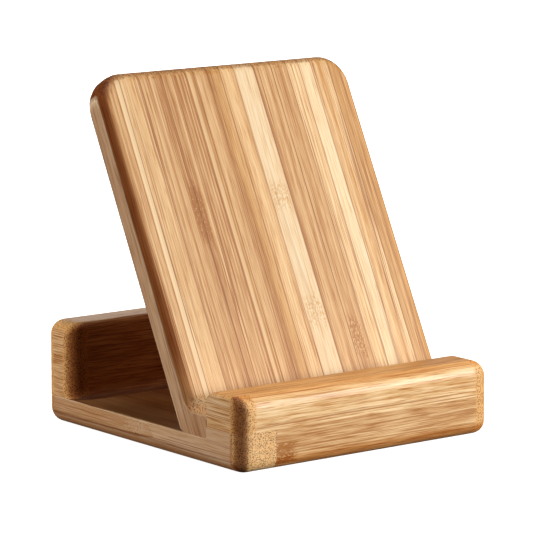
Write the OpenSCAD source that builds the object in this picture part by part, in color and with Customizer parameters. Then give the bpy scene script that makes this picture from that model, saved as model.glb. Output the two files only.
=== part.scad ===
// Laminated bamboo phone stand: a U-shaped tray with a front lip and a rear bar,
// and a leaning back panel glued up from upright strips.
// Millimetres. The origin is at the middle of the footprint, on the table. The lip faces -Y.

/* [Tray] */
// Width of the stand, left to right
body_w = 88; // [76:0.5:110]
// Depth of the stand, front to back
body_d = 90.5; // [84:0.5:115]
// Thickness of the tray's floor
base_t = 7.8; // [7.5:0.1:9]
// Number of strips that the floor is glued up from
base_strips = 7; // [7:2:9]
// Radius of the upright corners
corner_r = 4.4; // [3:0.1:7]
// Radius along the bottom edges
bottom_r = 3.4; // [1.5:0.1:4]

/* [Lip] */
// Thickness of the lip, front to back
lip_d = 14.6; // [12:0.1:18]
// Height of the lip above the table
lip_h = 20.8; // [19:0.1:26]
// Height of the seam between the lip's two rails
rail_h = 11; // [10.5:0.1:12]
// Radius along the lip's top edges
lip_r = 3.9; // [1:0.1:5]

/* [Rear bar] */
// Thickness of the rear bar, front to back
rear_d = 13.2; // [11:0.1:16]
// Height of the rear bar above the table
rear_h = 29.4; // [27:0.1:36]
// Radius along the rear bar's outer top edge
rear_r = 4.7; // [1:0.1:5]
// Radius along the rear bar's inner top edge
rear_inner_r = 1.5; // [0.5:0.1:3]
// Radius of the cove where the rear bar meets the floor
cove_r = 3; // [1:0.1:5]

/* [Panel] */
// Where the panel's face would meet the table, measured from the lip's front
panel_y = 14.4; // [14:0.1:16]
// Lean of the panel from upright, in degrees
lean = 26.9; // [20:0.1:32]
// Thickness of the panel
panel_t = 8.8; // [8:0.1:10]
// Length of the panel's face up the slope, measured from the table
panel_l = 113.4; // [95:0.1:130]
// Radius of the panel's two top corners
panel_corner_r = 9.8; // [4:0.1:15]
// Radius along the panel's edges
panel_edge_r = 3.3; // [1:0.1:3.9]
// Radius under the heel of the panel's foot
heel_r = 8.5; // [6:0.1:9.5]
// Height of the bottom of the phone groove
groove_z = 16; // [14.5:0.1:17]
// Radius of the cove in the phone groove
groove_r = 3.3; // [1.2:0.1:4]

/* [Joinery] */
// Diameter of the dowels that hold the lower front rail
lip_dowel_d = 4; // [3:0.5:4.5]
// Length of those dowels
lip_dowel_l = 20; // [14:0.5:24]
// Diameter of the dowels that hold the rear bar
rear_dowel_d = 6; // [4:0.5:8]
// Length of those dowels
rear_dowel_l = 21; // [18:0.5:22]
// Thickness of the tongue under the panel's foot
tongue_t = 5; // [4:0.1:6]
// Height of that tongue
tongue_h = 3; // [2:0.1:4]

/* [Hidden] */
$fn = 64;

// Widths of the panel's strips, left to right
STRIP_W = [7.7, 6.1, 8.2, 8.2, 3, 4.7, 4.4, 5, 6.9, 6.3, 5.5, 4.4, 4.4, 6, 7.2];
// Tone of each of those strips
STRIP_TONE = [
    "tan", "honey", "tan", "tan", "brown", "tan", "brown", "honey",
    "cream", "tan", "tan", "honey", "cream", "honey", "brown"
];

panel_strips = len(STRIP_W);
total_w = sum(STRIP_W);
base_strip_w = body_w / base_strips;
left_x = -body_w / 2;
rear_y = body_d - rear_d;
rear_mid_z = (base_t + rear_h) / 2;
// The dowels stand in the second strip from each side
dowel_x = body_w / 2 - 1.5 * base_strip_w;
// The tongue lies under the middle strips only, so it stays hidden
tongue_w = 3 * base_strip_w;
tongue_y = lip_d + 1.8;
// Overshoot of the cutting shapes
over = 1;

function sum(list, n = undef) =
    let (last = is_undef(n) ? len(list) - 1 : n - 1)
    last < 0 ? 0 : list[last] + sum(list, last);

function strip_edge(i) = left_x + sum(STRIP_W, i) * body_w / total_w;

function tone_colour(tone) =
    tone == "cream" ? [0.93, 0.80, 0.58] :
    tone == "honey" ? [0.86, 0.69, 0.45] :
    tone == "tan" ? [0.79, 0.61, 0.40] :
    [0.69, 0.49, 0.27];

// Outlines

// What a rounded corner takes off: (x, y) is the corner, (sx, sy) points into the shape
module corner_waste(x, y, r, sx, sy) {
    if (r > 0) {
        translate([x + sx * r, y + sy * r])
            difference() {
                translate([sx > 0 ? -r - over : 0, sy > 0 ? -r - over : 0])
                    square(r + over);
                circle(r = r);
            }
    }
}

// A rectangle from the origin with radii [lower left, lower right, upper right, upper left]
module rounded_rect(w, h, r) {
    difference() {
        square([w, h]);
        corner_waste(0, 0, r[0], 1, 1);
        corner_waste(w, 0, r[1], -1, 1);
        corner_waste(w, h, r[2], -1, -1);
        corner_waste(0, h, r[3], 1, -1);
    }
}

// The region between a circle and the two lines it touches, which meet at the point corner
module fillet_waste(corner, centre, r, touch_a, touch_b) {
    difference() {
        polygon([corner, touch_a, centre, touch_b]);
        translate(centre) circle(r = r);
    }
}

// Placing

// Moves a shape measured from the lip's front to the stand's own origin
module from_front() {
    translate([0, -body_d / 2, 0]) children();
}

// Sweeps a (Y, Z) profile across X from x0 to x1
module across(x0, x1) {
    translate([x0, 0, 0])
        rotate([90, 0, 90])
            linear_extrude(x1 - x0) children();
}

// The panel's own frame: Z up the slope, Y through the thickness, origin under the face
module on_slope() {
    translate([0, panel_y, 0])
        rotate([-lean, 0, 0]) children();
}

// The tray

// The tray from above
module tray_plan() {
    translate([left_x, 0, 0])
        linear_extrude(rear_h + over)
            rounded_rect(body_w, body_d, [corner_r, corner_r, corner_r, corner_r]);
}

// The tray from the front, up to top_z
module tray_front(top_z, top_r) {
    translate([left_x, body_d + over, 0])
        rotate([90, 0, 0])
            linear_extrude(body_d + 2 * over)
                rounded_rect(body_w, top_z, [bottom_r, bottom_r, top_r, top_r]);
}

// A piece of the tray: its profile swept from x0 to x1 and trimmed to the rounded outlines
module tray_piece(x0, x1, top_z, top_r) {
    intersection() {
        across(x0, x1) children();
        tray_plan();
        tray_front(top_z, top_r);
    }
}

module floor_profile(full_depth) {
    difference() {
        union() {
            rounded_rect(body_d, base_t, [bottom_r, rear_r, 0, 0]);
            if (full_depth)
                rounded_rect(lip_d, rail_h, [bottom_r, 0, 0, 0]);
        }
        if (!full_depth)
            translate([-over, -over]) square([lip_d + over, base_t + 2 * over]);
    }
}

module lip_lower_profile() {
    rounded_rect(lip_d, rail_h, [bottom_r, 0, 0, 0]);
}

module lip_upper_profile() {
    translate([0, rail_h])
        rounded_rect(lip_d, lip_h - rail_h, [0, 0, lip_r, lip_r]);
}

module rear_lower_profile() {
    difference() {
        translate([rear_y - cove_r, base_t]) square([rear_d + cove_r, rear_mid_z - base_t]);
        translate([rear_y - cove_r, base_t + cove_r]) circle(r = cove_r);
        translate([rear_y - cove_r - over, base_t + cove_r]) square([cove_r + over, rear_h]);
    }
}

module rear_upper_profile() {
    translate([rear_y, rear_mid_z])
        rounded_rect(rear_d, rear_h - rear_mid_z, [0, 0, rear_r, rear_inner_r]);
}

// Hidden joinery

// Dowels along Y between the lower front rail and the floor
module lip_dowel_set() {
    for (side = [-1, 1])
        translate([side * dowel_x, lip_d - lip_dowel_l / 2, base_t / 2])
            rotate([-90, 0, 0])
                cylinder(d = lip_dowel_d, h = lip_dowel_l);
}

// Dowels along Z through the floor and both rails of the rear bar
module rear_dowel_set() {
    for (side = [-1, 1])
        translate([side * dowel_x, rear_y + rear_d / 2, base_t / 2])
            cylinder(d = rear_dowel_d, h = rear_dowel_l);
}

// The tongue under the panel's foot, and the housing that it fills in the floor
module tongue() {
    translate([-tongue_w / 2, tongue_y, base_t - tongue_h])
        cube([tongue_w, tongue_t, tongue_h]);
}

// The panel

// The centre of a circle that stands on the level z and touches the leaning line from (y, 0)
function touching(y, z, r) = [y + (z + r) * tan(lean) - r / cos(lean), z + r];

back_y = panel_y + panel_t / cos(lean);
groove_c = touching(panel_y, groove_z, groove_r);
heel_c = touching(back_y, base_t, heel_r);
// From the face straight into the panel's thickness
into = [cos(lean), -sin(lean)];

// The leaning slab from the side, as (y, z) measured from the lip's front
module slab_profile() {
    heel = [back_y + base_t * tan(lean), base_t];
    difference() {
        translate([panel_y, 0])
            rotate(-lean)
                rounded_rect(panel_t, panel_l, [0, 0, panel_edge_r, panel_edge_r]);
        translate([0, -panel_t]) square([body_d, panel_t + base_t]);
        fillet_waste(heel, heel_c, heel_r, [heel_c[0], base_t], heel_c + heel_r * into);
    }
}

// The foot in front of the slab, whose top is the floor and the cove of the phone groove
module foot_profile() {
    inner = groove_c + (groove_r + panel_t / 2) * into;
    difference() {
        polygon([
            [lip_d, base_t], [lip_d, groove_z], [groove_c[0], groove_z],
            groove_c, inner, [heel_c[0], base_t]
        ]);
        translate(groove_c) circle(r = groove_r);
    }
}

// What the round-over takes off the foot's right end, along the groove's floor and up its cove
module foot_end_waste() {
    translate([0, groove_c[0], 0])
        rotate([90, 0, 0])
            linear_extrude(groove_c[0] - lip_d + over)
                corner_waste(-left_x, groove_z, panel_edge_r, -1, -1);
    translate([0, groove_c[0], groove_c[1]])
        rotate([0, 90, 0])
            rotate_extrude()
                corner_waste(groove_r, -left_x, panel_edge_r, 1, -1);
}

// The panel before it is divided into its strips; only its right half is used
module panel_body() {
    intersection() {
        across(left_x, -left_x) slab_profile();
        on_slope()
            translate([left_x, 0, -panel_t])
                linear_extrude(panel_l + 2 * panel_t)
                    rounded_rect(body_w, panel_t, [panel_edge_r, panel_edge_r, panel_edge_r, panel_edge_r]);
        on_slope()
            translate([left_x, 4 * panel_t, -panel_t])
                rotate([90, 0, 0])
                    linear_extrude(8 * panel_t)
                        rounded_rect(body_w, panel_l + panel_t, [0, 0, panel_corner_r, panel_corner_r]);
    }
    difference() {
        across(left_x, -left_x) foot_profile();
        foot_end_waste();
    }
    tongue();
}

// The pieces

// The left strip runs on under the lip's upper rail, and its end shows at the front
module base_strip(i) {
    x0 = left_x + (i - 1) * base_strip_w;
    color(tone_colour(i % 3 == 0 ? "honey" : "tan"))
        from_front()
            difference() {
                tray_piece(x0, x0 + base_strip_w, rear_h, 0)
                    floor_profile(i == 1);
                lip_dowel_set();
                rear_dowel_set();
                tongue();
            }
}

module lip_lower_rail() {
    color(tone_colour("tan"))
        from_front()
            difference() {
                tray_piece(left_x + base_strip_w, -left_x, rear_h, 0)
                    lip_lower_profile();
                lip_dowel_set();
            }
}

module lip_upper_rail() {
    color(tone_colour("honey"))
        from_front()
            tray_piece(left_x, -left_x, lip_h, lip_r)
                lip_upper_profile();
}

module rear_lower_rail() {
    color(tone_colour("brown"))
        from_front()
            difference() {
                tray_piece(left_x, -left_x, rear_h, 0)
                    rear_lower_profile();
                rear_dowel_set();
            }
}

module rear_upper_rail() {
    color(tone_colour("tan"))
        from_front()
            difference() {
                tray_piece(left_x, -left_x, rear_h, rear_r)
                    rear_upper_profile();
                rear_dowel_set();
            }
}

// The panel is the same on both sides, so a strip left of the middle mirrors one on the right
module panel_strip(i) {
    x0 = strip_edge(i - 1);
    x1 = strip_edge(i);
    on_left = x0 < 0;
    color(tone_colour(STRIP_TONE[i - 1]))
        from_front()
            mirror([on_left ? 1 : 0, 0, 0])
                intersection() {
                    panel_body();
                    translate([on_left ? -x1 : x0, 0, 0])
                        cube([x1 - x0, body_d, panel_l]);
                }
}

module lip_dowels() {
    color([0.84, 0.72, 0.52])
        from_front() lip_dowel_set();
}

module rear_dowels() {
    color([0.84, 0.72, 0.52])
        from_front() rear_dowel_set();
}

for (i = [1:base_strips])
    base_strip(i);
lip_lower_rail();
lip_upper_rail();
rear_lower_rail();
rear_upper_rail();
for (i = [1:panel_strips])
    panel_strip(i);
lip_dowels();
rear_dowels();
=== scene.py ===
import math

import bmesh
import bpy
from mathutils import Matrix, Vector


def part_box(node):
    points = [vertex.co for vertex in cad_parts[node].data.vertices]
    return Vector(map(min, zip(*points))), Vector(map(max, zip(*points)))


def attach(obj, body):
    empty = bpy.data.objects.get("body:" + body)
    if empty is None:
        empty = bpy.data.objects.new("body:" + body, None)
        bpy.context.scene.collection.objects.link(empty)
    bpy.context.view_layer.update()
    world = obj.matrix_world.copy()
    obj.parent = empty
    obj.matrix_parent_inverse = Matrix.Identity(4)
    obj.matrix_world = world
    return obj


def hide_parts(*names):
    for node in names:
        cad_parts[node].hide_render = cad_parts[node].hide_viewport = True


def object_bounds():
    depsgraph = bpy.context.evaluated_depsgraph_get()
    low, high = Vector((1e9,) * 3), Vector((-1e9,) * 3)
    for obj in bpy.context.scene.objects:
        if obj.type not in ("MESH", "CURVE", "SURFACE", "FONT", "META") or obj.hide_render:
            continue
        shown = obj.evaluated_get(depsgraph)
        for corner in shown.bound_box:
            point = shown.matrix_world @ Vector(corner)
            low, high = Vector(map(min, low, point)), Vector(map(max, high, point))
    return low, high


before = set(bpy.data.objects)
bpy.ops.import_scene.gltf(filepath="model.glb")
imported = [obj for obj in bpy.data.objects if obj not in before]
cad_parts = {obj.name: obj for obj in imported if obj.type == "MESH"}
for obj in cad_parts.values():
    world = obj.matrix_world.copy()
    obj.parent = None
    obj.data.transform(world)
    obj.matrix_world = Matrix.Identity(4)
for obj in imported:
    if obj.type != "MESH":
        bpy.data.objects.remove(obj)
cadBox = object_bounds()
mm = 0.001
print("frame loaded:", len(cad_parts), "nodes")


class Wire:
    # one output socket of a node tree, so that values can be written as expressions
    def __init__(self, tree, socket):
        self.tree = tree
        self.socket = socket

    def node(self, kind, settings=None, inputs=None, out=0):
        made = self.tree.nodes.new("ShaderNode" + kind)
        for key, value in (settings or {}).items():
            if key == "stops":
                setStops(made.color_ramp, value)
            else:
                setattr(made, key, value)
        for key, value in (inputs or {}).items():
            if isinstance(value, Wire):
                self.tree.links.new(value.socket, made.inputs[key])
            else:
                made.inputs[key].default_value = value
        return Wire(self.tree, made.outputs[out])

    def math(self, operation, first, second=0.0):
        return self.node("Math", {"operation": operation}, {0: first, 1: second})

    def __add__(self, other):
        return self.math("ADD", self, other)

    def __radd__(self, other):
        return self.math("ADD", other, self)

    def __sub__(self, other):
        return self.math("SUBTRACT", self, other)

    def __rsub__(self, other):
        return self.math("SUBTRACT", other, self)

    def __mul__(self, other):
        return self.math("MULTIPLY", self, other)

    def __rmul__(self, other):
        return self.math("MULTIPLY", other, self)

    def __truediv__(self, other):
        return self.math("DIVIDE", self, other)

    def __rtruediv__(self, other):
        return self.math("DIVIDE", other, self)

    def __abs__(self):
        return self.math("ABSOLUTE", self)

    def least(self, other):
        return self.math("MINIMUM", self, other)

    def most(self, other):
        return self.math("MAXIMUM", self, other)

    def step(self, low, high):
        # 0 below low, 1 above high, smooth between; low may be above high
        return self.node("MapRange", {"interpolation_type": "SMOOTHSTEP"},
                         {"Value": self, "From Min": low, "From Max": high})

    def vector(self, x, y, z):
        return self.node("CombineXYZ", None, {0: x, 1: y, 2: z})

    def part(self, index):
        return self.node("SeparateXYZ", None, {0: self}, index)

    def colourMix(self, blend, amount, first, second):
        return self.node("Mix", {"data_type": "RGBA", "blend_type": blend, "clamp_factor": True},
                         {0: amount, 6: first, 7: second}, 2)

    def noise(self, scale=1.0, detail=2.0, roughness=0.5):
        return self.node("TexNoise", None,
                         {"Vector": self, "Scale": scale, "Detail": detail, "Roughness": roughness})

    def cells(self, scale=1.0):
        return self.node("TexVoronoi", None, {"Vector": self, "Scale": scale})


def setStops(ramp, stops):
    while len(ramp.elements) < len(stops):
        ramp.elements.new(1.0)
    for element, (place, colour) in zip(ramp.elements, stops):
        element.position = place
        element.color = colour


def rgb(red, green, blue):
    # a colour as a screen shows it, 0 to 255, turned into linear light
    def linear(level):
        level = level / 255
        return level / 12.92 if level < 0.04045 else ((level + 0.055) / 1.055) ** 2.4

    return (linear(red), linear(green), linear(blue), 1.0)


bamboo = {
    # width and length in mm of each pattern in the grain
    "dotSize": (0.42, 30.0),      # the fibre bundles that show as dots in end grain
    "fineSize": (0.30, 9.0),
    "fibreSize": (0.7, 34.0),
    "softSize": (4.5, 140.0),
    "cloudSize": (3.2, 26.0),
    "lineSize": (1.2, 150.0),
    "narrowBand": 1.05,      # mm, width of the thinnest bands of tone
    "mottleSize": (0.36, 1.0),    # mm, the specks in a knuckle
    "mottleDepth": 4.2,
    "wander": 0.8,           # mm that the grain drifts sideways
    "wanderSize": (30.0, 45.0),
    "roughness": 0.46,
    "bumpHeight": 0.06,      # mm
    "bumpStrength": 0.3,
    "specular": 0.35,
    "lineTone": rgb(164, 104, 50),
    "endTone": rgb(230, 176, 108),
    "dotTone": rgb(96, 54, 24),
    # painted shade for the rounded upright corners, in two steps
    "cornerShadeOuterTone": rgb(205, 158, 118),
    "cornerShadeDeepTone": rgb(116, 84, 62),
    "seamTone": rgb(160, 104, 60),
    # painted shade for the panel's rounded edges, in two steps
    "rimShadeWarmTone": rgb(226, 182, 140),
    "rimShadeTone": rgb(168, 134, 106),
    "seamWidth": 0.30,       # mm on each side of a glue line
    "cornerReach": 6.0,      # mm that the end grain shows from an upright corner
    "cornerFade": 0.8,
    "footShadeSpan": (4.4, 2.2),  # mm above the table where the painted shade along the bottom edge begins and is full
    "rimShadeSpan": (16.0, 36.0),     # mm up the slope where the painted shade on the rounded edges begins and is full
    "sideSpan": (8.0, 24.0),      # the same for the paler flat side
    "grooveLightSpan": (34.0, 24.0),   # mm up the slope where the painted light on the groove's end grain begins and is full
    "endTurn": (0.45, 0.85),      # how far the surface faces along the fibres, from no end grain to all
    "sideTurn": (0.80, 0.97),
    "endAmount": 0.75,
    # how much painted light the groove's end grain gets
    "grooveLightAmount": 0.85,
    "fleckSize": 0.24,            # share of a cell that a dot takes on the long faces, and as much more on the ends
    "fleckFade": 0.2,
}

tones = {
    "cream": {"pale": rgb(250, 229, 194), "mid": rgb(240, 210, 166), "deep": rgb(216, 168, 108)},
    "honey": {"pale": rgb(246, 216, 172), "mid": rgb(228, 188, 136), "deep": rgb(196, 138, 74)},
    "tan": {"pale": rgb(229, 192, 143), "mid": rgb(207, 161, 109), "deep": rgb(170, 112, 56)},
    "brown": {"pale": rgb(222, 178, 120), "mid": rgb(197, 146, 88), "deep": rgb(156, 99, 48)},
}
tonePlaces = {"deep": 0.10, "mid": 0.5, "pale": 0.88}

plainGrain = {       # how strong each pattern is
    "bands": 0.34, "narrow": 0.26, "bandWidth": 3.2, "fine": 1.0, "fibre": 0.42,
    "soft": 0.55, "cloud": 0.35, "lines": 0.9, "dashes": 0.5,
}


def grainPattern(along, acrossA, acrossB, seed, grain):
    # what runs along one direction of the wood; everything is in mm
    wanderAcross, wanderAlong = bamboo["wanderSize"]
    drift = along.vector(seed * 3.1, acrossB / wanderAcross, along / wanderAlong).noise(1.0, 1.0)
    across = acrossA + (drift - 0.5) * bamboo["wander"] + seed * 7.0

    def stretched(pattern, shift):
        # the shift keeps one pattern from following another
        width, length = bamboo[pattern]
        return along.vector(across / width, acrossB / width, along / length + seed + shift)

    def bands(places):
        return across.node("TexVoronoi", {"voronoi_dimensions": "1D"}, {"W": places}, 1).part(0)

    fine = stretched("fineSize", 9.0).noise(1.0, 2.0, 0.6)
    fibre = stretched("fibreSize", 3.0).noise(1.0, 2.0, 0.6)
    soft = stretched("softSize", 5.0).noise()
    cloud = stretched("cloudSize", 13.0).noise()
    wide = bands(across / grain["bandWidth"])
    narrow = bands(across / bamboo["narrowBand"] + 40.0)
    contour = stretched("lineSize", 7.0).noise()
    line = abs(contour - 0.5).step(0.035, 0.008) * soft.step(0.35, 0.6)
    dash = fine.step(0.43, 0.31) * (0.4 + contour)
    dots = stretched("dotSize", 1.0).cells()
    tone = 0.5
    for pattern, weight in [(wide, "bands"), (narrow, "narrow"), (fine, "fine"),
                            (fibre, "fibre"), (soft, "soft"), (cloud, "cloud")]:
        tone = tone + (pattern - 0.5) * grain[weight]
    return tone, dots, line.most(dash * grain["dashes"])


def woodGrain(place, facing, look, grain):
    # the grain's tone, dots and lines, and where the surface cuts across the fibres
    x, y, z = place
    nx, ny, nz = facing
    seed = look["seed"]
    if look["grain"] == "x":
        value, dots, line = grainPattern(x, z, y, seed, grain)
        isEnd = abs(nx).step(*bamboo["endTurn"])
    elif look["grain"] == "y":
        value, dots, line = grainPattern(y, x, z, seed, grain)
        isEnd = abs(ny).step(*bamboo["endTurn"])
    else:
        value, dots, line = grainPattern(z, x, y, seed, grain)
        ragged = x.vector(x / 0.8, y / 0.8, z / 1.6).noise(1.0, 3.0, 0.7)
        isEnd = (abs(nz) + (ragged - 0.5) * 0.5).step(0.25, 0.5)
    if look.get("sideStreaks"):
        # the rails' ends are faced with grain that runs front to back
        sideValue, sideDots, sideLine = grainPattern(y, z, x, seed + 4.3, grain)
        onSide = abs(nx).step(*bamboo["sideTurn"])
        value = value + (sideValue - value) * onSide
        dots = dots + (sideDots - dots) * onSide
        line = line + (sideLine - line) * onSide
        isEnd = isEnd * (1.0 - onSide)
    return value, dots, line, isEnd


def cornerGrain(place, facing, dots, isEnd, look):
    # end grain shows round the upright corners, and some of them get painted shade halfway round the curve, where
    # neither lamp reaches
    x, y, z = place
    nx, ny = facing[:2]
    specks = x.vector(x, y, z).cells(1.0 / bamboo["dotSize"][0])
    ragged = x.vector(x, y, z).noise(0.9)
    turning = abs(nx * ny) / (nx * nx + ny * ny + 0.05)
    reachEnd = bamboo["cornerReach"]
    paintedCornerShade = None
    for cornerY, (leftCornerShade, rightCornerShade) in look["corners"]:
        reach = (look["halfWidth"] - abs(x)).most(abs(y - cornerY))
        near = (reach + (ragged - 0.5) * 1.8).step(reachEnd, reachEnd - bamboo["cornerFade"])
        near = near * (abs(ny) + (ragged - 0.5) * 0.1).step(0.02, 0.16)
        dots = dots + (specks - dots) * near
        isEnd = isEnd.most(near)
        # painted shade, darkest halfway round the corner, more on one side than on the other
        side = x.step(0.0, -1.0) * leftCornerShade + x.step(0.0, 1.0) * rightCornerShade
        dark = near * turning.step(0.10, 0.47) * side * (1.2 - ragged * 0.4)
        paintedCornerShade = dark if paintedCornerShade is None else paintedCornerShade.most(dark)
    return dots, isEnd, paintedCornerShade


def knuckled(value, place, look):
    # speckled patches, where a joint of the cane was planed flat
    x, y, z = place
    along, across = {"slope": (z, x), "x": (x, z), "y": (y, z)}[look["grain"]]
    width, length = bamboo["mottleSize"]
    for knuckle in look.get("knuckles", []):
        bend = (x.vector(across / 2.0, look["seed"], 0.0).noise(1.0, 1.0) - 0.5) * knuckle["length"]
        inside = abs(along - knuckle["along"] - bend).step(knuckle["length"], knuckle["length"] * 0.3)
        inside = inside * abs(across - knuckle["across"]).step(knuckle["width"], knuckle["width"] * 0.6)
        mottle = x.vector(across / width, y, along / length).noise(1.0, 3.0, 0.8)
        value = value + ((mottle - 0.5) * bamboo["mottleDepth"] - knuckle["depth"]) * inside
    return value


def tinted(base, value, line, place, facing, look):
    # colour on single faces: painted light and shade, paler flat sides, side tints, glue seams and the overall tint
    x, y, z = place
    nx, ny, nz = facing
    if "edgeShade" in look:
        # painted shade in the rounded edges, where the two lamps leave a dark band between them, more on one side
        # than on the other
        leftShade, rightShade = look["edgeShade"]
        side = nx.step(0.0, -0.2) * leftShade + nx.step(0.0, 0.2) * rightShade
        side = side * (0.4 + z.step(*bamboo["rimShadeSpan"]) * 0.6)
        warm = abs(nx).step(0.0, 0.5) * abs(nx).step(1.0, 0.90)
        turn = abs(nx).step(0.12, 0.62) * abs(nx).step(1.0, 0.93)
        base = base.colourMix("MULTIPLY", warm * side, base, bamboo["rimShadeWarmTone"])
        base = base.colourMix("MULTIPLY", turn * side, base, bamboo["rimShadeTone"])
    if "flatSide" in look:
        flat = abs(nx).step(0.88, 0.98) * (0.6 + z.step(*bamboo["sideSpan"]) * 0.4)
        amount = flat * (value * 1.5 - line * 0.3).most(0.1)
        base = base.colourMix("MIX", amount, base, look["flatSide"])
    # painted light and shade on the faces that look up: shade on the tray's floor and in the rear cove, where the
    # panel shades them, and warm light bounced from the panel on the lip's top
    if "topTone" in look:
        base = base.colourMix("MULTIPLY", nz.step(0.55, 0.97), base, look["topTone"])
    # painted shade along the bottom edge, which the lamps light less
    if "footTone" in look:
        foot = (z + (value - 0.5) * 0.8).step(*bamboo["footShadeSpan"])
        if look["grain"] == "y":
            foot = foot * abs(ny).step(0.7, 0.3)
        base = base.colourMix("MULTIPLY", foot, base, look["footTone"])
    # painted shade on the faces that look forward into the tray, behind the panel
    if "innerTone" in look:
        base = base.colourMix("MULTIPLY", ny.step(-0.05, -0.75), base, look["innerTone"])
    if "sideTone" in look:
        base = base.colourMix("MULTIPLY", abs(nx).step(0.75, 0.97), base, look["sideTone"])
    if "seams" in look:
        lowest, highest = look["seams"]
        gap = (x - lowest).least(highest - x)
        seam = gap.step(bamboo["seamWidth"], 0.05) * 0.6
        base = base.colourMix("MULTIPLY", seam, base, bamboo["seamTone"])
    if "shade" in look:
        base = base.colourMix("MULTIPLY", 1.0, base, look["shade"])
    return base


def bambooMaterial(name, tone, look):
    material = bpy.data.materials.new(name)
    material.use_nodes = True
    tree = material.node_tree
    shader = tree.nodes["Principled BSDF"]
    source = tree.nodes.new("ShaderNodeTexCoord")
    start = Wire(tree, source.outputs["Object"])
    direction = Wire(tree, source.outputs["Normal"])
    # places in mm and directions, with z up the slope on a leaning piece
    lean = look.get("lean", 0.0)
    local = start.node("Mapping", None, {"Vector": start, "Scale": (1 / mm,) * 3, "Rotation": (lean, 0, 0),
                                         "Location": look.get("origin", (0, 0, 0))})
    turned = start.node("Mapping", None, {"Vector": direction, "Rotation": (lean, 0, 0)})
    place = [local.part(i) for i in range(3)]
    facing = [turned.part(i) for i in range(3)]
    grain = {**plainGrain, **look.get("weights", {})}

    value, dots, line, isEnd = woodGrain(place, facing, look, grain)
    paintedCornerShade = None
    if "corners" in look:
        dots, isEnd, paintedCornerShade = cornerGrain(place, facing, dots, isEnd, look)
    value = knuckled(value, place, look)
    fleckEdge = bamboo["fleckSize"] + isEnd * bamboo["fleckSize"]
    fleck = dots.step(fleckEdge, fleckEdge - bamboo["fleckFade"])

    ramp = [(tonePlaces[level], tones[tone][level]) for level in ("deep", "mid", "pale")]
    base = value.node("ValToRGB", {"stops": ramp}, {0: value})
    base = base.colourMix("MIX", line * grain["lines"], base, bamboo["lineTone"])
    for accent in look.get("accents", []):
        inside = abs(place[0] - accent["across"]).step(accent["width"] * 0.6, accent["width"] * 0.4)
        amount = inside * (1.2 - isEnd).least(accent["amount"])
        base = base.colourMix("MIX", amount, base, accent["tone"])
    endTone = look.get("endTone", bamboo["endTone"])
    base = base.colourMix("MIX", isEnd * bamboo["endAmount"], base, endTone)
    # painted light on the end grain round the groove, where the lamp on the left lights it
    if "grooveTone" in look:
        amount = isEnd * place[2].step(*bamboo["grooveLightSpan"]) * bamboo["grooveLightAmount"]
        base = base.colourMix("MIX", amount, base, look["grooveTone"])
    base = base.colourMix("MIX", fleck * (0.2 + isEnd * 0.6), base, bamboo["dotTone"])
    # painted shade in the rounded upright corners
    if paintedCornerShade is not None:
        base = base.colourMix("MULTIPLY", paintedCornerShade, base, bamboo["cornerShadeOuterTone"])
        base = base.colourMix("MULTIPLY", paintedCornerShade * paintedCornerShade, base, bamboo["cornerShadeDeepTone"])
    base = tinted(base, value, line, place, facing, look)

    tree.links.new(base.socket, shader.inputs["Base Color"])
    rough = look.get("roughness", bamboo["roughness"]) + (value - 0.5) * 0.10 + isEnd * 0.2
    tree.links.new(rough.socket, shader.inputs["Roughness"])
    height = value * 0.5 - fleck * 0.6 - line * 0.3
    bump = start.node("Bump", None, {"Strength": bamboo["bumpStrength"], "Height": height,
                                     "Distance": bamboo["bumpHeight"] * mm})
    tree.links.new(bump.socket, shader.inputs["Normal"])
    shader.inputs["Specular IOR Level"].default_value = bamboo["specular"]
    return material


def arc(count):
    return [math.radians(90 * i / count) for i in range(count + 1)]


mesher = {
    "cornerSteps": 8,
    "edgeSteps": 7,
    "least": 0.05,      # mm, the smallest corner radius
    "border": 0.3,      # mm, the narrow band beside each curve that keeps the shading flat after it
    "weld": 2e-7,       # m
    "sharp": 32,        # degrees; an edge stays crisp where its faces meet at more than this
}


def outlineRing(box, corners, insets, heights):
    # a rounded rectangle as one ring of points; sides run south, east, north, west
    steps = mesher["cornerSteps"]
    west, east = box[0] + insets[3], box[1] - insets[1]
    south, north = box[2] + insets[0], box[3] - insets[2]
    sides = [(3, 0), (0, 1), (1, 2), (2, 3)]
    signs = [(-1, -1), (1, -1), (1, 1), (-1, 1)]
    ring = []
    for k, ((before, after), (sx, sy)) in enumerate(zip(sides, signs)):
        radius = max(corners[k] - (insets[before] + insets[after]) / 2, mesher["least"])
        cx = (west if sx < 0 else east) - sx * radius
        cy = (south if sy < 0 else north) - sy * radius
        start = math.atan2(sy, sx) - math.radians(45)
        reach = min(mesher["border"], radius)
        points = []
        for i, turn in enumerate(arc(steps)):
            angle = start + turn
            share = i / steps
            blend = share * share * (3 - 2 * share)
            level = heights[before] * (1 - blend) + heights[after] * blend
            points.append((cx + radius * math.cos(angle), cy + radius * math.sin(angle), level))
        enter = Vector((math.sin(start), -math.cos(start), 0)) * reach
        leave = Vector((-math.sin(start + math.pi / 2), math.cos(start + math.pi / 2), 0)) * reach
        ring += [tuple(Vector(points[0]) + enter), *points, tuple(Vector(points[-1]) + leave)]
    return ring


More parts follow.
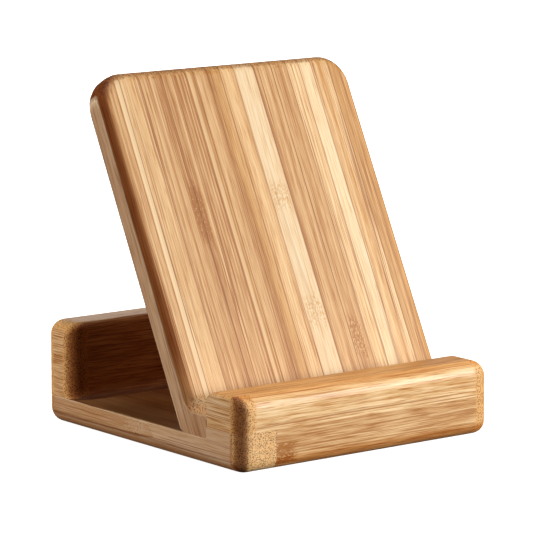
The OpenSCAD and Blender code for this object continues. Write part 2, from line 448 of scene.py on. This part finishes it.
def edgedSlab(box, low, high, corners, topEdges, bottomEdges, flare=None):
    # a board with a round-over of its own radius along each side, in mm, as rings from the bottom up;
    # a flare is a cove at the bottom of one side
    steps, lift = mesher["edgeSteps"], mesher["border"]
    rings = []

    def addRing(edges, turn, top, extra=0.0):
        insets = [radius * (1 - math.cos(turn)) + (extra if radius > 0 else 0.0) for radius in edges]
        if top:
            heights = [high - radius * (1 - math.sin(turn)) for radius in edges]
        else:
            heights = [low + radius * (1 - math.sin(turn)) for radius in edges]
        rings.append(outlineRing(box, corners, insets, heights))

    if max(bottomEdges) > 0:
        addRing(bottomEdges, math.pi / 2, False, lift)
        for turn in reversed(arc(steps)):
            addRing(bottomEdges, turn, False)
    elif flare:
        side, radius = flare
        for turn in arc(steps):
            insets = [0.0] * 4
            insets[side] = -radius * (1 - math.sin(turn))
            heights = [low + radius * (1 - math.cos(turn))] * 4
            rings.append(outlineRing(box, corners, insets, heights))
    else:
        rings.append(outlineRing(box, corners, [0.0] * 4, [low] * 4))
    rings.append(outlineRing(box, corners, [0.0] * 4, [max(p[2] for p in rings[-1]) + lift] * 4))
    if max(topEdges) > 0:
        rings.append(outlineRing(box, corners, [0.0] * 4, [high - radius - lift for radius in topEdges]))
        for turn in arc(steps):
            addRing(topEdges, turn, True)
        addRing(topEdges, math.pi / 2, True, lift)
    else:
        rings.append(outlineRing(box, corners, [0.0] * 4, [high] * 4))
    return rings


def skin(rings, place=None):
    # joins rings of points into a closed mesh and closes both ends
    mesh = bmesh.new()
    place = place or (lambda point: point)
    rows = [[mesh.verts.new(place(Vector(point)) * mm) for point in ring] for ring in rings]
    for lower, upper in zip(rows, rows[1:]):
        for i in range(len(lower)):
            j = (i + 1) % len(lower)
            mesh.faces.new((lower[i], lower[j], upper[j], upper[i]))
    mesh.faces.new(list(reversed(rows[0])))
    mesh.faces.new(rows[-1])
    bmesh.ops.remove_doubles(mesh, verts=mesh.verts, dist=1e-7)
    bmesh.ops.dissolve_degenerate(mesh, dist=1e-7, edges=mesh.edges)
    bmesh.ops.recalc_face_normals(mesh, faces=mesh.faces)
    return mesh


def prism(profile, x0, x1):
    # a (y, z) outline swept across x, in mm
    return skin([[(x, y, z) for y, z in profile] for x in (x0, x1)])


def trimmed(source, planes):
    # keeps the side of each plane that its normal points away from, and closes the cuts
    mesh = source.copy()
    for point, normal in planes:
        geometry = mesh.verts[:] + mesh.edges[:] + mesh.faces[:]
        cut = bmesh.ops.bisect_plane(mesh, geom=geometry, dist=1e-8, plane_co=Vector(point) * mm,
                                     plane_no=Vector(normal), clear_outer=True)
        rim = [e for e in cut["geom_cut"] if isinstance(e, bmesh.types.BMEdge) and e.is_boundary]
        if rim:
            bmesh.ops.edgeloop_fill(mesh, edges=rim)
    bmesh.ops.recalc_face_normals(mesh, faces=mesh.faces)
    return mesh


def newObject(name, mesh):
    data = bpy.data.meshes.new(name)
    mesh.to_mesh(data)
    mesh.free()
    made = bpy.data.objects.new(name, data)
    bpy.context.scene.collection.objects.link(made)
    return made


def combine(target, other, operation):
    # one exact boolean, applied to the mesh; the other object is used up
    change = target.modifiers.new("combine", "BOOLEAN")
    change.operation = operation
    change.solver = "EXACT"
    change.object = other
    graph = bpy.context.evaluated_depsgraph_get()
    result = bpy.data.meshes.new_from_object(target.evaluated_get(graph))
    target.modifiers.clear()
    old = target.data
    target.data = result
    bpy.data.meshes.remove(old)
    bpy.data.objects.remove(other)


def finishMesh(made):
    # smooth shading with crisp edges where faces meet at more than the angle
    mesh = bmesh.new()
    mesh.from_mesh(made.data)
    bmesh.ops.remove_doubles(mesh, verts=mesh.verts, dist=mesher["weld"])
    for face in mesh.faces:
        face.smooth = True
    for edge in mesh.edges:
        edge.smooth = edge.is_manifold and edge.calc_face_angle(0) < math.radians(mesher["sharp"])
    mesh.to_mesh(made.data)
    mesh.free()


def standFor(made, node, material):
    made.data.materials.clear()
    made.data.materials.append(material)
    finishMesh(made)
    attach(made, "root")
    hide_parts(node)


low, high = cadBox
half = high.x / mm
front, back = low.y / mm, high.y / mm


def nodeRange(node, axis):
    lowest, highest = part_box(node)
    return lowest[axis] / mm, highest[axis] / mm


def sideCuts(node, isFirst, isLast):
    # the planes that cut a strip out of a wider body, whose own sides stay as they are
    x0, x1 = nodeRange(node, 0)
    cuts = [] if isFirst else [((x0, 0, 0), (-1, 0, 0))]
    return cuts if isLast else cuts + [((x1, 0, 0), (1, 0, 0))]


tray = {
    "cornerRadius": 4.4,
    "bottomEdges": [3.6, 3.6, 4.8, 4.0],     # front, right, back, left
    "floorEdge": 0.8,
    "tones": ["cream", "honey", "tan", "tan", "honey", "tan", "tan"],
    # painted shade on the floor's top, under the leaning panel
    "topTone": rgb(172, 140, 112),
    # painted shade along the bottom edge
    "footTone": rgb(166, 130, 104),
    "frontCornerShade": (0.75, 0.0),      # left and right: painted shade in the front corners
    # painted shade in the back corners, left and right
    "backCornerShade": (0.2, 0.2),
    "knuckle": {"along": 1.5, "across": 5.6, "length": 7.0, "width": 2.2, "depth": -0.15},
}
lipBack = nodeRange("lip_upper_rail", 1)[1]
railTop = nodeRange("lip_lower_rail", 2)[1]
floorTop = nodeRange("rear_lower_rail", 2)[0]
plan = (-half, half, front, back)
allCorners = [tray["cornerRadius"]] * 4
flush = [0.0] * 4

lowSlab = skin(edgedSlab(plan, 0.0, railTop, allCorners, flush, tray["bottomEdges"]))
floorEdges = [0.0, tray["floorEdge"], 0.0, tray["floorEdge"]]
floorSlab = skin(edgedSlab(plan, 0.0, floorTop, allCorners, floorEdges, tray["bottomEdges"]))
stripCount = sum(1 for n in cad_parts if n.startswith("base_strip_"))
stripSeam = nodeRange("base_strip_1", 0)[1]
for index in range(1, stripCount + 1):
    node = f"base_strip_{index}"
    planes = [((0, lipBack, 0), (0, -1, 0))] + sideCuts(node, index == 1, index == stripCount)
    piece = newObject(f"floorStrip{index}", trimmed(floorSlab, planes))
    look = {"grain": "y", "seed": 1.7 * index, "seams": nodeRange(node, 0), "topTone": tray["topTone"]}
    if index == 1:
        # the left strip runs on under the lip, and its end shows beside the lower rail
        block = trimmed(lowSlab, [((0, lipBack, 0), (0, 1, 0)), ((stripSeam, 0, 0), (1, 0, 0))])
        combine(piece, newObject("block", block), "UNION")
        look.update({"halfWidth": half, "corners": [(front, tray["frontCornerShade"]), (back, tray["backCornerShade"])],
                     "footTone": tray["footTone"], "knuckles": [tray["knuckle"]]})
    material = bambooMaterial(f"floor_bamboo_{index}", tray["tones"][index - 1], look)
    standFor(piece, node, material)
print("floor strips:", stripCount)

railLook = {
    "grain": "x", "sideStreaks": True, "halfWidth": half,
    "shade": rgb(255, 252, 246), "roughness": 0.40,
    "weights": {"bands": 0.1, "narrow": 0.1, "fine": 1.9, "fibre": 0.85, "soft": 0.6, "cloud": 0.8,
                "lines": 0.75, "dashes": 0.75},
}
lip = {
    "corners": [4.4, 4.5, 0.4, 0.3],      # front left, front right, back right, back left
    "edges": [3.9, 5.1, 0.0, 1.6],        # front, right, back, left
    "backEdge": 3.7,
    "cornerShade": (0.75, 0.1),                # left and right: painted shade in the front corners
    # painted shade along the lip's bottom edge
    "lowerFootShade": rgb(232, 200, 164),
    "lowerKnuckle": {"along": -28.5, "across": 4.4, "length": 4.6, "width": 3.4, "depth": 0.55},
    # painted warm bounce light from the panel on the lip's top
    "upperTopBounce": rgb(255, 226, 190),
    "upperSide": rgb(232, 225, 226),
}
lipTop = nodeRange("lip_upper_rail", 2)[1]
lipCorners = [(front, lip["cornerShade"])]

lowerRail = trimmed(lowSlab, [((0, lipBack, 0), (0, 1, 0)), ((stripSeam, 0, 0), (-1, 0, 0))])
piece = newObject("lipLowerRail", lowerRail)
look = {**railLook, "seed": 13.3, "corners": lipCorners, "footTone": lip["lowerFootShade"],
        "knuckles": [lip["lowerKnuckle"]]}
material = bambooMaterial("lip_lower_bamboo", "tan", look)
standFor(piece, "lip_lower_rail", material)

lipBox = (-half, half, front, lipBack)
piece = newObject("lipUpperRail", skin(edgedSlab(lipBox, railTop, lipTop, lip["corners"], lip["edges"], flush)))
radius = lip["backEdge"]
clear = 2.0      # mm that a cutter stands clear of the wood
waste = [(lipBack - radius + radius * math.sin(turn), lipTop - radius + radius * math.cos(turn)) for turn in arc(8)]
waste += [(lipBack + clear, lipTop - radius), (lipBack + clear, lipTop + clear), (lipBack - radius, lipTop + clear)]
combine(piece, newObject("lipBackEdge", prism(waste, -half - clear, half + clear)), "DIFFERENCE")
look = {**railLook, "seed": 21.1, "corners": lipCorners, "topTone": lip["upperTopBounce"], "sideTone": lip["upperSide"]}
material = bambooMaterial("lip_upper_bamboo", "honey", look)
standFor(piece, "lip_upper_rail", material)

rear = {
    "corners": [4.6, 4.6, 4.4, 4.4],      # front left, front right, back right, back left
    "edges": [1.5, 3.6, 4.7, 4.1],        # front, right, back, left
    "cove": 3.0,
    "cornerShade": (0.2, 0.2),                 # left and right: painted shade in the corners
    "weights": {**railLook["weights"], "fine": 2.6, "lines": 1.0, "dashes": 1.2},
    # painted shade on the rear bar's inner face
    "innerTone": rgb(192, 156, 134),
    "sideTone": rgb(252, 250, 255),
    # painted shade in the cove behind the panel
    "coveShade": rgb(150, 112, 84),
}
rearMid = nodeRange("rear_lower_rail", 2)[1]
rearTop = nodeRange("rear_upper_rail", 2)[1]
rearFront = nodeRange("rear_upper_rail", 1)[0]
rearBox = (-half, half, rearFront, back)
rearBar = skin(edgedSlab(rearBox, floorTop, rearTop, rear["corners"], rear["edges"], flush, (0, rear["cove"])))
for name, node, cutAway, seed in [("rearLowerRail", "rear_lower_rail", (0, 0, 1), 31.9),
                                  ("rearUpperRail", "rear_upper_rail", (0, 0, -1), 37.4)]:
    piece = newObject(name, trimmed(rearBar, [((0, 0, rearMid), cutAway)]))
    look = {**railLook, "seed": seed, "corners": [(rearFront, rear["cornerShade"]), (back, rear["cornerShade"])],
            "innerTone": rear["innerTone"], "sideTone": rear["sideTone"], "weights": rear["weights"]}
    if node == "rear_lower_rail":
        look["topTone"] = rear["coveShade"]
    material = bambooMaterial(node + "_bamboo", "tan", look)
    standFor(piece, node, material)
print("rails: 4")


panel = {
    "lean": math.radians(26.9),
    "faceY": -30.85,       # mm, where the face's line meets the table
    "thickness": 8.8,
    "length": 113.4,
    "below": 12.0,         # mm that the slab runs on below the table, before it is cut off
    "corners": [8.9, 9.8],     # top right, top left
    "square": 0.05,        # the lower corners, which the cut takes away
    "edge": 3.3,
    "heel": 8.5,
    "grooveFloor": 16.0,
    "grooveCove": 3.3,
    "firstSeed": 50,
    "seedStep": 2.3,
    "tones": ["tan", "honey", "tan", "tan", "brown", "tan", "brown", "honey",
              "cream", "tan", "tan", "honey", "cream", "honey", "brown"],
    "edgeShade": (0.85, 0.2),      # left and right: painted shade on the rounded edges
    "endTone": rgb(190, 138, 84),
    # painted light on the groove's end grain
    "grooveTone": rgb(255, 218, 166),
    "flatSide": rgb(255, 234, 198),
    "shade": rgb(247, 245, 242),
    "stripShade": {1: rgb(243, 238, 232), 2: rgb(240, 235, 229), 3: rgb(241, 236, 231), 4: rgb(241, 236, 231),
                   9: rgb(239, 237, 235)},
    "stripWeights": {9: {"lines": 0.25, "dashes": 0.3, "bands": 0.12, "narrow": 0.12, "fine": 1.3}},
    "knuckles": {          # by strip; places in mm up the slope and across
        3: [{"along": 70.0, "across": -22.0, "length": 11.0, "width": 2.4, "depth": 0.45}],
        4: [{"along": 70.0, "across": -22.0, "length": 11.0, "width": 2.4, "depth": 0.4}],
        9: [{"along": 72.5, "across": 6.8, "length": 5.5, "width": 3.6, "depth": 0.15},
            {"along": 38.5, "across": 6.8, "length": 6.5, "width": 3.6, "depth": 0.1}],
        11: [{"along": 29.0, "across": 18.6, "length": 8.0, "width": 2.6, "depth": 0.2}],
    },
    "accents": {           # single pale or dark streaks along a strip
        1: [{"across": -37.2, "width": 1.5, "amount": 0.7, "tone": rgb(248, 224, 180)}],
        3: [{"across": -26.6, "width": 0.7, "amount": 0.5, "tone": rgb(176, 112, 56)}],
        5: [{"across": -13.4, "width": 0.6, "amount": 0.6, "tone": rgb(172, 108, 50)},
            {"across": -12.6, "width": 1.2, "amount": 0.5, "tone": rgb(243, 214, 168)}],
        10: [{"across": 10.3, "width": 0.9, "amount": 0.7, "tone": rgb(166, 106, 54)}],
        13: [{"across": 28.0, "width": 2.4, "amount": 0.2, "tone": rgb(252, 230, 190)}],
    },
}
sine, cosine = math.sin(panel["lean"]), math.cos(panel["lean"])
slope = sine / cosine


def onSlope(point):
    # (across, up the slope, through the thickness) to the stand's own frame
    return Vector((point.x, panel["faceY"] + point.y * sine + point.z * cosine, point.y * cosine - point.z * sine))


def touchCentre(lineY, radius, floorLevel):
    # the middle of a circle that stands on a level and touches a leaning line in front of it
    return lineY + (floorLevel + radius) * slope - radius / cosine, floorLevel + radius


def touchAngles(count):
    # from straight below that middle round to the leaning line
    return [math.radians(-90) + (math.radians(90) - panel["lean"]) * i / count for i in range(count + 1)]


edges = [0.0, panel["edge"], panel["edge"], panel["edge"]]
slabBox = (-half, half, -panel["below"], panel["length"])
slabCorners = [panel["square"], panel["square"], *panel["corners"]]
slab = skin(edgedSlab(slabBox, 0.0, panel["thickness"], slabCorners, edges, edges), onSlope)
board = newObject("board", trimmed(slab, [((0, 0, floorTop), (0, 0, -1))]))
slab.free()

heelY, heelZ = touchCentre(panel["faceY"] + panel["thickness"] / cosine, panel["heel"], floorTop)
heel = [(heelY + panel["heel"] * math.cos(a), heelZ + panel["heel"] * math.sin(a)) for a in touchAngles(12)]
groove = Vector(touchCentre(panel["faceY"], panel["grooveCove"], panel["grooveFloor"]))
inner = groove + (panel["grooveCove"] + panel["thickness"] / 2) * Vector((cosine, -sine))


def footSection(depth):
    # the foot from the side, with its top lowered by the depth of the round-over
    radius = panel["grooveCove"] + depth
    cove = [tuple(groove + radius * Vector((math.cos(a), math.sin(a)))) for a in touchAngles(10)]
    return [(lipBack, floorTop), (lipBack, panel["grooveFloor"] - depth), *cove, tuple(inner), (heel[0][0], floorTop)]


sections = [(panel["edge"] * (1 - math.cos(turn)), panel["edge"] * (1 - math.sin(turn))) for turn in arc(7)]
rows = [[(-half + inset, y, z) for y, z in footSection(depth)] for inset, depth in sections]
rows += [[(half - inset, y, z) for y, z in footSection(depth)] for inset, depth in reversed(sections)]
combine(board, newObject("foot", skin(rows)), "UNION")
outY, outZ = heel[-1][0] + 2 * clear, heel[-1][1] - clear
underside = floorTop - 3.0
waste = heel + [(outY, outZ), (outY, underside), (heel[0][0], underside)]
combine(board, newObject("heel", prism(waste, -half - clear, half + clear)), "DIFFERENCE")

whole = bmesh.new()
whole.from_mesh(board.data)
bpy.data.objects.remove(board)
panelCount = len(panel["tones"])
for index in range(1, panelCount + 1):
    node = f"panel_strip_{index}"
    piece = newObject(f"panelStrip{index}", trimmed(whole, sideCuts(node, index == 1, index == panelCount)))
    look = {"grain": "slope", "seed": panel["firstSeed"] + panel["seedStep"] * index,
            "lean": panel["lean"], "origin": (0.0, -panel["faceY"] * cosine, -panel["faceY"] * sine),
            "seams": nodeRange(node, 0), "shade": panel["stripShade"].get(index, panel["shade"]),
            "weights": panel["stripWeights"].get(index, {}),
            "knuckles": panel["knuckles"].get(index, []), "accents": panel["accents"].get(index, [])}
    look.update({key: panel[key] for key in ("edgeShade", "endTone", "grooveTone", "flatSide")})
    material = bambooMaterial(f"panel_bamboo_{index}", panel["tones"][index - 1], look)
    standFor(piece, node, material)
whole.free()
print("panel strips:", panelCount)

# the dowels are hidden, so they keep the CAD's meshes
for node, grain in [("lip_dowels", "y"), ("rear_dowels", "slope")]:
    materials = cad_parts[node].data.materials
    materials.clear()
    materials.append(bambooMaterial(node + "_wood", "cream", {"grain": grain, "seed": 91.0}))
print("dowel sets: 2")


studio = {
    "aim": (0.0, 0.0, 0.045),
    "lights": [            # name, place in m, side in m, watts, colour
        ("keyLight", (0.85, -0.90, 0.35), 0.45, 17.3, (1.0, 0.99, 0.97)),
        ("frontFill", (0.15, -1.17, 0.25), 0.45, 4.8, (1, 1, 1)),
        ("topLight", (0.1, 0.0, 1.2), 0.4, 4.6, (1.0, 0.97, 0.94)),
        ("sideLight", (-1.08, 0.52, 0.13), 0.35, 14.0, (1, 1, 1)),
        ("backLight", (0.55, 1.10, 0.30), 0.4, 4.5, (0.92, 0.96, 1.0)),
        ("sheenLight", (0.65, 1.05, 0.30), 0.4, 0.6, (0.96, 0.97, 1.0)),
    ],
    "formOnly": ("sideLight", "backLight"),     # they leave no reflection
    "sheenOnly": ("sheenLight",),               # it only gives the sheen on the faces that look up
    "ambient": 0.010,      # what the room gives to matt surfaces
    "mirrored": 0.08,      # what it gives to reflections
    "floorGlow": 0.9,
    "floorTone": (0.9, 0.9, 0.9, 1),
    "floorRoughness": 0.9,
    "floorSize": 3.0,      # m
    "floorLevel": -0.02,   # mm, clear of the tray's underside
}

for name, place, side, power, colour in studio["lights"]:
    light = bpy.data.lights.new(name, "AREA")
    light.shape = "RECTANGLE"
    light.size = light.size_y = side
    light.energy = power
    light.color = colour
    lamp = bpy.data.objects.new(name, light)
    bpy.context.scene.collection.objects.link(lamp)
    lamp.location = Vector(place)
    lamp.rotation_euler = (Vector(studio["aim"]) - lamp.location).to_track_quat("-Z", "Y").to_euler()
    lamp.visible_glossy = name not in studio["formOnly"]
    lamp.visible_diffuse = name not in studio["sheenOnly"]
print("lights:", len(studio["lights"]))

world = bpy.data.worlds.new("studio")
bpy.context.scene.world = world
world.use_nodes = True
sky = world.node_tree
paths = sky.nodes.new("ShaderNodeLightPath")
seen = Wire(sky, paths.outputs["Is Camera Ray"])
mirrored = Wire(sky, paths.outputs["Is Glossy Ray"])
level = studio["ambient"] + seen * (1.0 - studio["ambient"]) + mirrored * (studio["mirrored"] - studio["ambient"])
sky.links.new(level.socket, sky.nodes["Background"].inputs["Strength"])
sky.nodes["Background"].inputs["Color"].default_value = (1, 1, 1, 1)

floorMesh = bmesh.new()
bmesh.ops.create_grid(floorMesh, x_segments=1, y_segments=1, size=studio["floorSize"])
ground = newObject("floor", floorMesh)
ground.location.z = studio["floorLevel"] * mm
floorMaterial = bpy.data.materials.new("paleFloor")
floorMaterial.use_nodes = True
floorShader = floorMaterial.node_tree.nodes["Principled BSDF"]
floorShader.inputs["Base Color"].default_value = studio["floorTone"]
floorShader.inputs["Roughness"].default_value = studio["floorRoughness"]
floorShader.inputs["Emission Color"].default_value = (1, 1, 1, 1)
floorShader.inputs["Emission Strength"].default_value = studio["floorGlow"]
ground.data.materials.append(floorMaterial)
ground.visible_diffuse = False
ground.visible_glossy = False

view = {
    "turn": math.radians(37.76),   # the camera stands to the front left
    "down": math.radians(9.68),
    "distance": 0.9915,
    "lens": 240.1,
    "aim": (0.0, -0.00015, 0.0456),
    "clip": (0.05, 20.0),
}
cameraData = bpy.data.cameras.new("camera")
cameraData.lens = view["lens"]
cameraData.sensor_width = 36.0
cameraData.clip_start, cameraData.clip_end = view["clip"]
camera = bpy.data.objects.new("camera", cameraData)
bpy.context.scene.collection.objects.link(camera)
toward = Vector((math.sin(view["turn"]) * math.cos(view["down"]),
                 math.cos(view["turn"]) * math.cos(view["down"]), -math.sin(view["down"])))
camera.location = Vector(view["aim"]) - toward * view["distance"]
camera.rotation_euler = toward.to_track_quat("-Z", "Y").to_euler()
bpy.context.scene.camera = camera
bpy.context.scene.view_settings.view_transform = "Standard"

bpy.context.view_layer.update()
